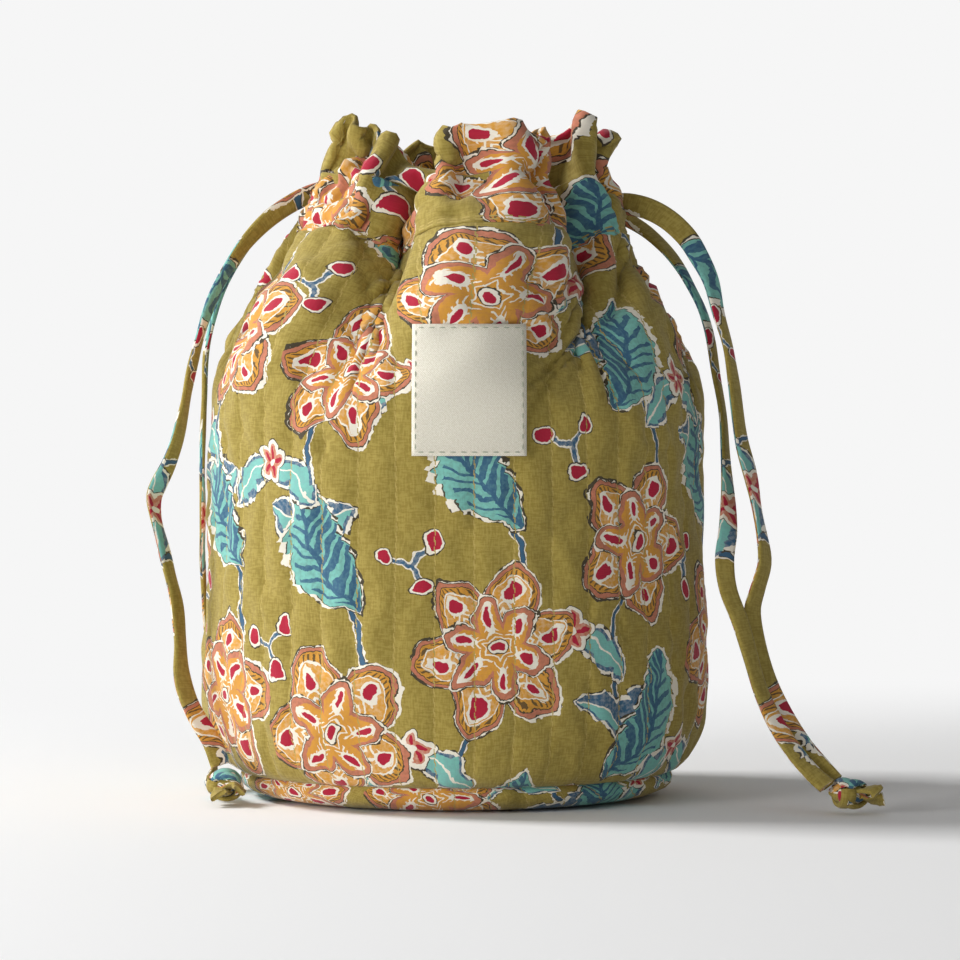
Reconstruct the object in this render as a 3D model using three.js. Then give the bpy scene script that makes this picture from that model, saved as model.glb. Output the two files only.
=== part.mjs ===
// Quilted cotton drawstring pouch (kinchaku), in millimetres, +Z up, front towards -Y.
// The origin is on the floor under the middle of the round base.
import * as THREE from 'three';

// Base panel: a round padded disc, sewn into the foot of the wall
const baseThickness = 7;
const baseFlatRadius = 62;
const seamRadius = 75.5;
const seamHeight = 7.2;

// Quilted wall: its middle surface, from the base seam up to the header seam
const wallThickness = 3;
const wallEdgeThickness = 1.6;
const bellyRadius = 88.6;
const bellyHeight = 46;
const waistRadius = 86.8;
const waistHeight = 95;
const shoulderHeight = 152;
const quiltChannels = 41;
const quiltRelief = 0.7;

// Header: a plain band folded over at the top, cinched into a neck
const headerSeamHeight = 206;
const headerLap = 4;
const channelShare = 0.45;
const clothThickness = 0.8;
const cinchHeight = 228;
const neckRadius = 54;
const topHeight = 241;
const topFlare = 2;
const headerGap = 11.6;

// Gathers: each fold's angle from the front, towards +X, how far it leans by the neck, its depth
// there and the number of small tucks in the header between it and the next fold
const leftExitDepth = 10;
const leftFrontDepth = 22;
const rightFrontDepth = 23;
const rightExitDepth = 11;
const rightBackDepth = 20;
const leftBackDepth = 19;
const folds = [
  { angle: -90, lean: 0, depth: leftExitDepth, tucks: 3 },
  { angle: -22, lean: -9, depth: leftFrontDepth, tucks: 4 },
  { angle: 37, lean: 19, depth: rightFrontDepth, tucks: 3 },
  { angle: 96, lean: 0, depth: rightExitDepth, tucks: 3 },
  { angle: 158, lean: 0, depth: rightBackDepth, tucks: 3 },
  { angle: 214, lean: 0, depth: leftBackDepth, tucks: 3 },
];
const leftFold = 0;
const rightFold = 3;
const foldFoot = 128;
const foldFull = 218;
const foldPinch = 0.6;
const foldSharpness = 1.15;
const leanFoot = 165;
const leanFull = 215;
const tuckDepth = 4.5;
const tuckFoot = 202;
const tuckFull = 224;
const seamSlope = 0.45;
const topSlope = 0.3;

// Drawstrings: folded strips of the same cotton
const stripWidth = 7;
const stripThickness = 3.2;
const channelStripShare = 0.22;
const channelStripThickness = 0.9;
const leftStripShare = 0.76;
const rightStripShare = 0.2;

// Label, knots and the gap left between touching pieces
const labelWidth = 39;
const labelHeight = 44;
const labelThickness = 0.9;
const labelSeat = 0.4;
const labelCentreAngle = 3.4;
const labelCentreHeight = 145.5;
const knotRadius = 6.4;
const knotLength = 12;
const knotTailLength = 6;
const clearance = 0.3;
const channelClearance = 0.5;
const exitClearance = 1.6;

const degree = Math.PI / 180;

// Every piece of cloth turns at the same angles, so that layers lie along each other
const facetAngle = 180 / quiltChannels;

const oliveCotton = 0xa8953c;
const ochreCotton = 0xb08a35;
const creamCanvas = 0xece6d6;

function cloth(color) {
  return new THREE.MeshStandardMaterial({ color, roughness: 0.92, metalness: 0 });
}

function ease(value) {
  const held = Math.min(Math.max(value, 0), 1);
  return held * held * (3 - 2 * held);
}

function mix(from, to, share) {
  return from + (to - from) * share;
}

// Where an angle of the flat cloth lies among the folds: its bearing once gathered, how far it dips
// into the nearest fold, and how far into a tuck of the header.
function gather(angle, height) {
  const turned = ((((angle - folds[0].angle) % 360) + 360) % 360) + folds[0].angle;
  let index = folds.length - 1;
  while (folds[index].angle > turned) {
    index -= 1;
  }
  const start = folds[index];
  const next = folds[(index + 1) % folds.length];
  const width = (next.angle - start.angle + 360) % 360;
  const place = (turned - start.angle) / width;
  const drawn = ease((height - foldFoot) / (foldFull - foldFoot));
  const leaning = ease((height - leanFoot) / (leanFull - leanFoot));
  const pinched = place - (foldPinch * drawn * Math.sin(2 * Math.PI * place)) / (2 * Math.PI);
  const from = start.angle + start.lean * leaning;
  const to = start.angle + width + next.lean * leaning;
  const share = ((1 + Math.cos(2 * Math.PI * place)) / 2) ** foldSharpness;
  const tucked = ease((height - tuckFoot) / (tuckFull - tuckFoot));
  return {
    bearing: mix(from, to, pinched),
    dip: share * (place < 0.5 ? start.depth : next.depth) * drawn,
    tuck: (tuckDepth * tucked * (1 - Math.cos(2 * Math.PI * place * start.tucks))) / 2,
  };
}

// Radius of the lobes' crests at a height.
function crestRadius(height) {
  if (height < bellyHeight) {
    const below = 1 - (height - seamHeight) / (bellyHeight - seamHeight);
    return mix(seamRadius, bellyRadius, Math.sqrt(1 - below * below));
  }
  const waist = ease((height - bellyHeight) / (waistHeight - bellyHeight));
  const rise = Math.min(Math.max((height - shoulderHeight) / (cinchHeight - shoulderHeight), 0), 1);
  const flare = ease((height - cinchHeight) / (topHeight - cinchHeight));
  const body = mix(bellyRadius, waistRadius, waist);
  return mix(body, neckRadius, ease(rise ** 1.25)) + topFlare * flare;
}

// The middle surface of the cloth: a point at an angle, in degrees, and a height up the cloth.
function clothPoint(angle, height) {
  const { bearing, dip, tuck } = gather(angle, height);
  const toTop = ease((height - headerSeamHeight) / (topHeight - headerSeamHeight));
  const radius = crestRadius(height) - dip - tuck;
  const drop = dip * mix(seamSlope, topSlope, toTop);
  return new THREE.Vector3(
    radius * Math.sin(bearing * degree),
    -radius * Math.cos(bearing * degree),
    height - drop,
  );
}

// A point at a distance out from the middle surface, square to it.
function offsetPoint(angle, height, distance) {
  const turn = 0.4;
  const rise = 0.4;
  const around = clothPoint(angle + turn, height).sub(clothPoint(angle - turn, height));
  const up = clothPoint(angle, height + rise).sub(clothPoint(angle, Math.max(height - rise, seamHeight)));
  const out = around.cross(up).normalize();
  return clothPoint(angle, height).addScaledVector(out, distance);
}

// Joins rings of points into one closed skin. An open one is closed by a cap at each end. Their
// outline is bowed before it is cut into triangles, so that each joins neighbouring rows.
function skin(rings, outline) {
  const count = rings[0].length;
  const positions = rings.flat().flatMap((point) => [point.x, point.y, point.z]);
  const faces = [];
  const spans = outline ? rings.length - 1 : rings.length;
  for (let ring = 0; ring < spans; ring += 1) {
    const here = ring * count;
    const there = ((ring + 1) % rings.length) * count;
    for (let side = 0; side < count; side += 1) {
      const next = (side + 1) % count;
      faces.push(here + side, there + side, there + next);
      faces.push(here + side, there + next, here + next);
    }
  }
  if (outline) {
    const last = (rings.length - 1) * count;
    const bow = 0.05;
    const bowed = outline.map(({ x, y }) => new THREE.Vector2(x, y + bow * (x - outline[0].x) ** 2));
    THREE.ShapeUtils.triangulateShape(bowed, []).forEach(([a, b, c]) => {
      faces.push(c, b, a);
      faces.push(last + a, last + b, last + c);
    });
  }
  const geometry = new THREE.BufferGeometry();
  geometry.setAttribute('position', new THREE.Float32BufferAttribute(positions, 3));
  geometry.setIndex(faces);
  geometry.computeVertexNormals();
  return geometry;
}

// A band that follows the cloth from one angle to another. Its outline holds points of
// height and distance out from the middle surface: up its outer side, then down its inner.
function clothBand(outline, fromAngle, toAngle) {
  const least = facetAngle / 4;
  const angles = [fromAngle];
  for (let step = Math.ceil((fromAngle + least) / facetAngle); step * facetAngle < toAngle - least; step += 1) {
    angles.push(step * facetAngle);
  }
  angles.push(toAngle);
  const rings = angles.map((angle) => outline.map((corner) => offsetPoint(angle, corner.x, corner.y)));
  return skin(rings, outline);
}

// Heights of the wall's rows: close together where it turns, at its foot and shoulder.
function wallLevels() {
  const levels = [0, 0.02, 0.07, 0.16, 0.3, 0.5, 0.75].map((share) => mix(seamHeight, bellyHeight, share));
  const straightRows = 5;
  for (let row = 0; row < straightRows; row += 1) {
    levels.push(mix(bellyHeight, shoulderHeight, row / straightRows));
  }
  const shoulderRows = 7;
  for (let row = 0; row <= shoulderRows; row += 1) {
    levels.push(mix(shoulderHeight, headerSeamHeight, row / shoulderRows));
  }
  return [...levels, headerSeamHeight + headerLap];
}

function makeWall() {
  const levels = wallLevels();
  const rings = [];
  for (let step = 0; step < quiltChannels * 2; step += 1) {
    const angle = step * facetAngle;
    const groove = step % 2 === 0 ? quiltRelief : 0;
    const outside = [];
    const inside = [];
    levels.forEach((height) => {
      const pressed = ease((height - shoulderHeight) / (headerSeamHeight - shoulderHeight));
      const half = mix(wallThickness, wallEdgeThickness, pressed) / 2;
      const fade = (1 - pressed) * ease((height - seamHeight) / (bellyHeight - seamHeight));
      outside.push(offsetPoint(angle, height, half - groove * fade));
      inside.push(offsetPoint(angle, height, -half));
    });
    rings.push([...outside, ...inside.reverse()]);
  }
  return skin(rings);
}

function makeBase() {
  const rim = offsetPoint(0, seamHeight, wallThickness / 2);
  const inner = offsetPoint(0, seamHeight, -wallThickness / 2);
  const edge = new THREE.Vector2(-rim.y, rim.z);
  const lip = new THREE.Vector2(-inner.y, inner.z);
  const along = lip.clone().sub(edge).normalize();
  const back = new THREE.Vector2(-along.y, along.x).multiplyScalar(clearance);
  edge.add(back);
  lip.add(back);
  const turn = new THREE.SplineCurve([
    new THREE.Vector2(baseFlatRadius, 0),
    new THREE.Vector2(mix(baseFlatRadius, edge.x, 0.55), edge.y * 0.16),
    new THREE.Vector2(mix(baseFlatRadius, edge.x, 0.88), edge.y * 0.5),
    edge,
  ]);
  const profile = [new THREE.Vector2(0, 0), ...turn.getPoints(5), lip];
  profile.push(new THREE.Vector2(lip.x - 6, baseThickness));
  profile.push(new THREE.Vector2(0, baseThickness));
  return new THREE.LatheGeometry(profile, quiltChannels);
}

// The header is one band folded over at the top: two legs take the wall's edge between
// them, and above that edge they form the channel for both drawstrings.
function makeHeader(fromAngle, toAngle) {
  const slot = wallEdgeThickness / 2 + channelClearance;
  const leg = slot + clothThickness;
  const wallTop = headerSeamHeight + headerLap;
  const channelTop = mix(wallTop, topHeight, channelShare);
  const rim = topHeight - clothThickness;
  const outer = [
    [headerSeamHeight, leg],
    [wallTop, leg],
    [mix(wallTop, channelTop, 0.35), leg],
    [mix(wallTop, channelTop, 0.65), leg],
    [channelTop, leg],
    [mix(channelTop, rim, 0.35), clothThickness],
    [mix(channelTop, rim, 0.7), clothThickness],
    [rim, clothThickness],
    [topHeight, 0],
  ];
  const inner = outer.slice(0, -1).reverse().map(([height, distance]) => [height, -distance]);
  const channel = [
    [headerSeamHeight, -slot],
    [wallTop, -slot],
    [mix(wallTop, channelTop, 0.35), -slot],
    [mix(wallTop, channelTop, 0.65), -slot],
    [channelTop - clothThickness, -slot],
    [channelTop - clothThickness, slot],
    [mix(wallTop, channelTop, 0.65), slot],
    [mix(wallTop, channelTop, 0.35), slot],
    [wallTop, slot],
    [headerSeamHeight, slot],
  ];
  const outline = [...outer, ...inner, ...channel].map(([height, distance]) => (
    new THREE.Vector2(height, distance)
  ));
  return clothBand(outline, fromAngle, toAngle);
}

function makeChannelStrip(share, fromAngle, toAngle) {
  const wallTop = headerSeamHeight + headerLap;
  const channelTop = mix(wallTop, topHeight, channelShare);
  const level = mix(wallTop, channelTop, share);
  const half = ((channelTop - wallTop) * channelStripShare) / 2;
  const out = channelStripThickness / 2;
  const outline = [[-half, out], [half, out], [half, -out], [-half, -out]].map(([rise, distance]) => (
    new THREE.Vector2(level + rise, distance)
  ));
  return clothBand(outline, fromAngle, toAngle);
}

// The angle of flat cloth that a sideways distance takes at the neck, in the middle of a fold.
function gapAngle(fold, distance) {
  const bearing = Math.asin(distance / (neckRadius - folds[fold].depth)) / degree;
  return bearing / (1 - foldPinch);
}

function makeLabel() {
  const radius = waistRadius + wallThickness / 2 + labelSeat;
  const halfAngle = labelWidth / 2 / radius / degree;
  const bottom = labelCentreHeight - labelHeight / 2;
  const top = bottom + labelHeight;
  const near = wallThickness / 2 + labelSeat;
  const rows = wallLevels().filter((level) => level > bottom + 1 && level < top - 1);
  const levels = [bottom, ...rows, top];
  const face = levels.map((level) => new THREE.Vector2(level, near + labelThickness));
  const back = levels.map((level) => new THREE.Vector2(level, near));
  const outline = [...face, ...back.reverse()];
  return clothBand(outline, labelCentreAngle - halfAngle, labelCentreAngle + halfAngle);
}

// A free end of a drawstring, along points chosen to lie as the strip hangs.
function makeStrip(route, roll) {
  const path = new THREE.CatmullRomCurve3(route.map((point) => new THREE.Vector3(...point)), false, 'centripetal');
  const section = new THREE.Shape();
  const sides = 8;
  for (let side = 0; side < sides; side += 1) {
    const turn = (2 * Math.PI * (side + 0.5)) / sides;
    const wide = (stripWidth / 2) * Math.cos(turn);
    const thick = (stripThickness / 2) * Math.sin(turn);
    const x = wide * Math.cos(roll) - thick * Math.sin(roll);
    const y = wide * Math.sin(roll) + thick * Math.cos(roll);
    if (side === 0) {
      section.moveTo(x, y);
    } else {
      section.lineTo(x, y);
    }
  }
  section.closePath();
  return new THREE.ExtrudeGeometry(section, { steps: 30, bevelEnabled: false, extrudePath: path });
}

// A pulled-tight overhand knot with its cut ends beyond it, turned on its own axis.
function makeKnot() {
  const end = knotLength + knotTailLength;
  const bulge = new THREE.SplineCurve([
    new THREE.Vector2(knotRadius * 0.5, 0),
    new THREE.Vector2(knotRadius * 0.9, knotLength * 0.2),
    new THREE.Vector2(knotRadius, knotLength * 0.5),
    new THREE.Vector2(knotRadius * 0.85, knotLength * 0.8),
    new THREE.Vector2(knotRadius * 0.42, knotLength),
    new THREE.Vector2(knotRadius * 0.5, end),
  ]);
  const profile = [new THREE.Vector2(0, 0), ...bulge.getPoints(12), new THREE.Vector2(0, end)];
  return new THREE.LatheGeometry(profile, 12);
}

// Where each knot starts, and the way that it points
const rightKnotPlace = [129.5, -71.6, 7.5];
const rightKnotAxis = [16, -5.4, -1.2];
const leftKnotPlace = [-81.8, -36.4, 8.3];
const leftKnotAxis = [2, -9, -2.2];

const rightOuterRoute = [
  [46.9, 3, 210.4], [51, 2.5, 210.9], [55.5, 1.4, 211.6], [61.5, -2.2, 212], [69, -7.2, 210],
  [76, -12, 205.8], [82, -15.6, 199.8], [86, -18, 193.2], [90.5, -20, 183.9], [93.2, -22, 172.9], [96.3, -24, 161.5],
  [97.9, -27, 149.8], [99.1, -30, 138.5], [100.7, -33, 126.9], [103.2, -37, 115.4], [105.1, -40, 105],
  [107, -43, 94.6], [107.6, -45, 85.2], [105.1, -46, 76.2], [103.3, -47, 67.9], [104.9, -49, 56.5],
  [108.5, -52, 44.5], [113.8, -56, 32.7], [119.6, -61, 22.7], [125.4, -65.8, 15.2], [129.4, -69, 10.4],
];
const rightInnerRoute = [
  [46.5, 6.8, 210], [51, 6.9, 210.7], [56.5, 7, 209.6], [67, 4, 204], [74.7, -1.5, 196.6],
  [80.5, -8, 188.7], [84.6, -12, 180.8], [87.8, -15, 173], [91, -17, 161.6], [92.9, -20.5, 148.8],
  [94.3, -24, 136.1], [95.1, -28.5, 122.4], [95.5, -34.5, 108.4], [95.3, -41, 96.2], [93.8, -46, 85.9],
  [94.7, -51, 75.7], [98.7, -54, 64.7], [102.1, -56, 53.4], [105.7, -58, 41.4], [110.4, -62, 30.6],
  [116.3, -67.4, 21.2], [122.4, -72, 14], [127, -75, 9.8],
];
const leftOuterRoute = [
  [-45, -1.9, 216.6], [-50, -2, 216.2], [-57.5, -4, 213], [-67, -8, 206.2], [-75.6, -10, 197.2],
  [-82, -12, 187.4], [-86.8, -12, 177.4], [-90.6, -12, 167], [-93.2, -12, 157.1], [-95.4, -13, 147.1],
  [-97.6, -14, 136.4], [-99.6, -15, 126.4], [-102.4, -16, 118.3], [-105.6, -17, 111.9],
  [-107.3, -18, 106.9], [-106.5, -19, 99.8], [-103.9, -20, 90.3], [-101.4, -21, 79.7],
  [-98.8, -22, 69.1], [-97.3, -24, 56.8], [-96.8, -27, 45.5], [-94.3, -31, 36.8], [-90.2, -34, 28.9],
  [-85.6, -36, 21.6], [-82.4, -37.6, 13.6],
];
const leftInnerRoute = [
  [-45, 1.9, 216.6], [-50, 2.2, 216.2], [-57.5, 3.6, 212.6], [-67, 6, 205.6], [-76, 8, 196.4],
  [-82.6, 9, 185.8], [-87.2, 10, 174.8], [-90, 10.5, 162], [-91.4, 11, 147], [-92, 11.5, 130],
  [-92.2, 12, 112], [-92.2, 13, 94], [-92.2, 16, 76], [-91.4, 21, 60], [-90.2, 25, 45],
  [-89.4, 24, 31], [-88.4, 17, 18], [-87.4, 6, 9], [-86.8, -8, 5.5], [-85.2, -20, 5],
  [-82.3, -33.6, 6.2],
];

const pouch = new THREE.Group();

function add(name, geometry, color) {
  const mesh = new THREE.Mesh(geometry, cloth(color));
  mesh.name = name;
  pouch.add(mesh);
  return mesh;
}

add('quilted_wall', makeWall(), oliveCotton);
const base = add('base_panel', makeBase(), oliveCotton);
base.rotation.x = Math.PI / 2;

const leftGap = gapAngle(leftFold, headerGap / 2);
const rightGap = gapAngle(rightFold, headerGap / 2);
const leftAngle = folds[leftFold].angle;
const rightAngle = folds[rightFold].angle;
add('header_front', makeHeader(leftAngle + leftGap, rightAngle - rightGap), oliveCotton);
add('header_back', makeHeader(rightAngle + rightGap, leftAngle + 360 - leftGap), oliveCotton);

const leftEnd = gapAngle(leftFold, stripThickness + exitClearance);
const rightEnd = gapAngle(rightFold, stripThickness + exitClearance);
add('drawstring_left_loop', makeChannelStrip(leftStripShare, leftAngle + leftEnd,
  leftAngle + 360 - leftEnd), ochreCotton);
add('drawstring_right_loop', makeChannelStrip(rightStripShare, rightAngle + rightEnd,
  rightAngle + 360 - rightEnd), ochreCotton);
add('drawstring_right_outer', makeStrip(rightOuterRoute, Math.PI / 2), ochreCotton);
add('drawstring_right_inner', makeStrip(rightInnerRoute, Math.PI / 2), ochreCotton);
add('drawstring_left_outer', makeStrip(leftOuterRoute, Math.PI / 2), ochreCotton);
add('drawstring_left_inner', makeStrip(leftInnerRoute, Math.PI / 2), ochreCotton);

const rightKnot = add('knot_right', makeKnot(), ochreCotton);
rightKnot.position.set(...rightKnotPlace);
rightKnot.quaternion.setFromUnitVectors(new THREE.Vector3(0, 1, 0), new THREE.Vector3(...rightKnotAxis).normalize());
const leftKnot = add('knot_left', makeKnot(), ochreCotton);
leftKnot.position.set(...leftKnotPlace);
leftKnot.quaternion.setFromUnitVectors(new THREE.Vector3(0, 1, 0), new THREE.Vector3(...leftKnotAxis).normalize());

add('label', makeLabel(), creamCanvas);

export default pouch;
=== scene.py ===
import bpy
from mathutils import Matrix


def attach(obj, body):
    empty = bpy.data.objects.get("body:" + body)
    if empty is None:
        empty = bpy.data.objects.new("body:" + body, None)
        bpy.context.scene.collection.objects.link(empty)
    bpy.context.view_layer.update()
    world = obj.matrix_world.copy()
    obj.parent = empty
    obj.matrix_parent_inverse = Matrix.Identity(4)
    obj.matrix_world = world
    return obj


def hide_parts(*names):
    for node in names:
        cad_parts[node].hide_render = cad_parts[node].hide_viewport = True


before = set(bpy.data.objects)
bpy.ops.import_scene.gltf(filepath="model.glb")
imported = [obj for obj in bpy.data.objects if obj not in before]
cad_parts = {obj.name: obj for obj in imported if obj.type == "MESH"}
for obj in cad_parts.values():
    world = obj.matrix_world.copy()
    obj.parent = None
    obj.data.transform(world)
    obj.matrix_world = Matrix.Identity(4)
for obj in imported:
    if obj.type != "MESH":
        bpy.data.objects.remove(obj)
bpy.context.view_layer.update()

import math
import bpy
import numpy as np
from mathutils import Vector

mm = 0.001
scene = bpy.context.scene


def linearColour(hexColour):
    parts = [int(hexColour[k:k + 2], 16) / 255 for k in (1, 3, 5)]
    return [p / 12.92 if p <= 0.04045 else ((p + 0.055) / 1.055) ** 2.4 for p in parts] + [1]


def feed(node, inputs):
    for socket, value in inputs.items():
        if isinstance(value, bpy.types.NodeSocket):
            node.id_data.links.new(value, node.inputs[socket])
        else:
            node.inputs[socket].default_value = value


def addNode(tree, kind, settings=None, inputs=None):
    node = tree.nodes.new("ShaderNode" + kind)
    for name, value in (settings or {}).items():
        setattr(node, name, value)
    feed(node, inputs or {})
    return node


def newMaterial(name):
    material = bpy.data.materials.new(name)
    material.use_nodes = True
    tree = material.node_tree
    return material, tree, tree.nodes["Principled BSDF"]


def addPiece(name, points, faces, uv, material, slot, node=None):
    # points in mm; uv gives two numbers in mm for each corner of each face; node is what it replaces
    mesh = bpy.data.meshes.new(name)
    mesh.from_pydata((np.asarray(points, float) * mm).tolist(), [], [list(map(int, face)) for face in faces])
    mesh.uv_layers.new(name="clothMm").uv.foreach_set("vector", np.asarray(uv, np.float32).ravel())
    mesh.polygons.foreach_set("use_smooth", [True] * len(mesh.polygons))
    mesh.materials.append(material)
    mesh.validate()
    mesh.update()
    piece = bpy.data.objects.new(name, mesh)
    scene.collection.objects.link(piece)
    if node:
        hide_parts(node)
    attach(piece, "root")
    return piece


def gridFaces(rows, columns, closed=False, first=0):
    # quads of a rows x columns grid of points, and the row and column of each corner
    across = columns if closed else columns - 1
    row, column = np.meshgrid(np.arange(rows - 1), np.arange(across), indexing="ij")
    corners = np.array([(0, 0), (0, 1), (1, 1), (1, 0)])
    r = row[..., None] + corners[:, 0]
    c = column[..., None] + corners[:, 1]
    return (first + r * columns + c % columns).reshape(-1, 4), (r.reshape(-1, 4), c.reshape(-1, 4))


def ease(value):
    value = np.clip(value, 0, 1)
    return value * value * (3 - 2 * value)


def blend(low, high, share):
    return low + (high - low) * share


def unit(vectors):
    return vectors / np.maximum(np.linalg.norm(vectors, axis=-1, keepdims=True), 1e-9)


# Camera: level with the middle of the pouch, one degree from above
viewing = {"distance": 1.4, "elevation": 1.0, "target": (0.0086, 0, 0.113), "frameWidth": 0.3456}
cameraData = bpy.data.cameras.new("studioCamera")
cameraData.lens_unit = "FOV"
cameraData.angle = 2 * math.atan(viewing["frameWidth"] / 2 / viewing["distance"])
camera = bpy.data.objects.new("studioCamera", cameraData)
scene.collection.objects.link(camera)
lift = math.radians(viewing["elevation"])
target = Vector(viewing["target"])
camera.location = target + viewing["distance"] * Vector((0, -math.cos(lift), math.sin(lift)))
camera.rotation_euler = (target - camera.location).to_track_quat("-Z", "Y").to_euler()
scene.camera = camera
print("stage: camera")

# Printed cotton: plain-woven cotton, block-printed by hand. To the eye it is matt, with a slubby
# yarn, slightly uneven ink, hand-cut edges and pale halos where the blocks don't quite meet.
inks = {
    "ground": "#A9964A", "groundShade": "#93803A", "outline": "#4A4232", "halo": "#EFE8D8",
    "ochre": "#D69A3C", "coral": "#C67C60", "crimson": "#B0203A", "teal": "#7DBFB4",
    "slate": "#3B6280", "hatch": "#6B5330", "thread": "#B5A05A",
}
unevenInks = ("ochre", "coral", "teal", "slate")
printLayout = {"cellWidth": 55.9, "cellHeight": 64.0, "edgeWander": 6.4, "fineWander": 1.0}
# name of each noise: cells a mm and detail. The real yarn pitch is 0.5 mm; weft and warp are drawn at
# about 0.7 mm, because finer doesn't show.
printNoises = {
    "drift": (0.09, 1.0), "fine": (0.55, 2.0), "brush": (0.35, 2.0), "patch": (0.7, 3.0),
    "weft": (1.0, 2.0), "warp": (1.0, 2.0),
}
yarnStretch = {"weft": (0.3, 1.5, 1), "warp": (1.5, 0.3, 1)}
# p and q are the flower's outer and inner petals, o the blossom, b the berries; lengths in mm
flower = {"x": "flowerX", "y": "flowerY", "petals": "petals", "sharp": "pointed"}
petalRings = {
    "p": {**flower, "spin": "swing", "depth": 0.4, "radius": "outer"},
    "q": {**flower, "spin": "swingHalf", "depth": 0.46, "radius": 19},
    "o": {"x": "cx", "y": "cy", "petals": 5, "spin": 0.3, "sharp": 1.3, "depth": 0.4, "radius": 7.6},
    "b": {"x": "cx", "y": "cy", "petals": 3, "spin": 0.1, "sharp": 1, "depth": 0.01, "radius": 7},
}
petalSpots = {
    "p": {"at": 19.5, "long": 3.2, "wide": 2.3}, "q": {"at": 11.5, "long": 3.8, "wide": 1.6},
    "o": {"at": 3.2, "long": 2.2, "wide": 0.8},
}
petalRibs = {
    "p": {"lean": 0.9, "perMm": 0.38, "share": 0.34, "past": -4.6},
    "q": {"lean": 1.1, "perMm": 0.42, "share": 0.3, "past": -2.6},
}
# l is the large leaf, s the leaf on the stem, m the pair beside the blossom; the tilt is in degrees
leaves = {
    "l": {"x": "sprayX", "y": "y", "tilt": 62, "start": -22, "length": 50, "bend": -7, "width": 12.5,
          "perTooth": 0.2},
    "s": {"x": "vine", "y": "leanY", "tilt": 34, "start": -4, "length": 26, "bend": 3, "width": 7.4,
          "perTooth": 0.1},
    "m": {"x": "pairX", "y": "cy", "tilt": -38, "start": 1, "length": 25, "bend": 2.5, "width": 6.4,
          "perTooth": 0.12},
}

# In these tables a line gives a name its value, worked out from left to right as on a pocket calculator.
# Its words are numbers, earlier names, signs, and Math operations on the value so far, such as floor.
columnSteps = """
cellU = ux * {perWidth}
column = cellU floor
cornerU = cellU + 0.5
cornerColumn = cornerU floor
"""

latticeSteps = """
slideV = vy * {perHeight}
cellV = slideV + columnSlide
row = cellV floor
x = cellU - column * {cellWidth} + -{halfWidth}
y = cellV - row * {cellHeight} + -{halfHeight}
parity = column + row * 0.5 fract
isFlower = parity < 0.25
isSpray = parity > 0.25
cornerV = slideV + cornerSlide + 0.5
cornerRow = cornerV floor
cx = cornerU - cornerColumn * {cellWidth} + -{halfWidth}
cy = cornerV - cornerRow * {cellHeight} + -{halfHeight}
cornerParity = cornerColumn + cornerRow * 0.5 fract
isBlossom = cornerParity < 0.25
isBerries = cornerParity > 0.25
"""

# What each cell draws by chance from one, two and three; the stem and the mirrored places
chanceSteps = """
flowerX = one * 5 + x - 2.5
flowerY = two * 9 + y - 4.5
petals = three * 1.99 floor + 5
swing = one * 7
swingHalf = swing + 0.5
outer = two * -3 + 31
pointed = one * 0.6 + 1.15
mirror = two > 0.5 * 2 + -1
sprayX = x * mirror
leanY = mirror * 3 + y
pairX = cx absolute
stemTurn = cellV * 3.14159 + 0.4
vine = column * 3.14159 + stemTurn cosine * 12 + x absolute
"""

# A ring of petals: polar distance folded into one petal, along it and across it
petalSteps = """
{p}xx = {x} * {x}
{p}r = {y} * {y} + {p}xx sqrt
{p}off = {y} arctan2 {x} * 0.159155 * {petals} + {spin} fract - 0.5
{p}edge = {p}off absolute * 2 ^ {sharp} * -{depth} + 1 * {radius}
{p}d = {p}r - {p}edge
{p}angle = 6.28318 / {petals} * {p}off
{p}along = {p}angle cosine * {p}r
{p}across = {p}angle sine * {p}r
"""

# A tear-shaped spot on each petal
spotSteps = """
{p}spotAlong = {p}along - {at} / {long}
{p}spotAcross = {p}across / {wide}
{p}spotSquare = {p}spotAlong * {p}spotAlong
{p}spot = {p}spotAcross * {p}spotAcross + {p}spotSquare sqrt
"""

# Slanting strokes of a petal's rim
ribSteps = """
{p}rib = {p}across absolute
{p}ribPast = {p}d < {past}
{p}ribIn = {p}rib * {lean} + {p}along * {perMm} fract < {share} * {p}ribPast * isFlower
"""

# A leaf with a toothed edge, a curved midrib and slanting veins
leafSteps = """
{p}rise = {y} * {sin}
{p}t = {x} * {cos} + {p}rise - {start}
{p}fall = {y} * {cos}
{p}straight = {x} * {sin} - {p}fall
{p}part = {p}t / {length}
{p}inside = {p}part min 1 max 0
{p}sine = {p}inside * 3.14159 sine
{p}w = {p}sine * {bend} + {p}straight
{p}absW = {p}w absolute
{p}half = {p}sine ^ 0.72 * {width}
{p}toothIn = {p}absW * -0.9 + {p}t * {perTooth} fract
{p}halfCut = {p}toothIn * {p}sine * -1.9 + {p}half
{p}side = {p}absW - {p}halfCut
{p}d = {p}part - {p}inside absolute * {length} + {p}side
{p}vein = {p}toothIn - 0.55 absolute < 0.17
{p}upper = {p}w > 0
"""

berrySteps = """
bOut = balong - 9.5
bOutSquare = bOut * bOut
bberry = bacross * bacross + bOutSquare sqrt - 2.7
bstalk = bacross absolute
bstalkIn = br < 9 * isBerries
"""

# What the coats stay in, and the loose edges of the pale ones
edgeSteps = """
minner = md < -0.6 * isBlossom
supper = supper * isSpray
sinner = sd < -0.8 * isSpray
linner = ld < 0 * isSpray
lveinUpper = lvein * linner * lupper
lower = 1 - lupper
lveinLower = 1 - lvein * linner * lower
pfar = pd > -7.5
phatchIn = pacross * 3.6 sine > 0.35 * pfar * isFlower
loose = brush * 2.8 + -1.4
pdLoose = flowerX * -0.03 + pd + loose
qdLoose = qd + loose
ldLoose = sprayX * -0.05 + ld + loose
sdLoose = sd + loose
mdLoose = brush * 2.8 + md
vineLoose = brush * 2.0 + vine
"""

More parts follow.
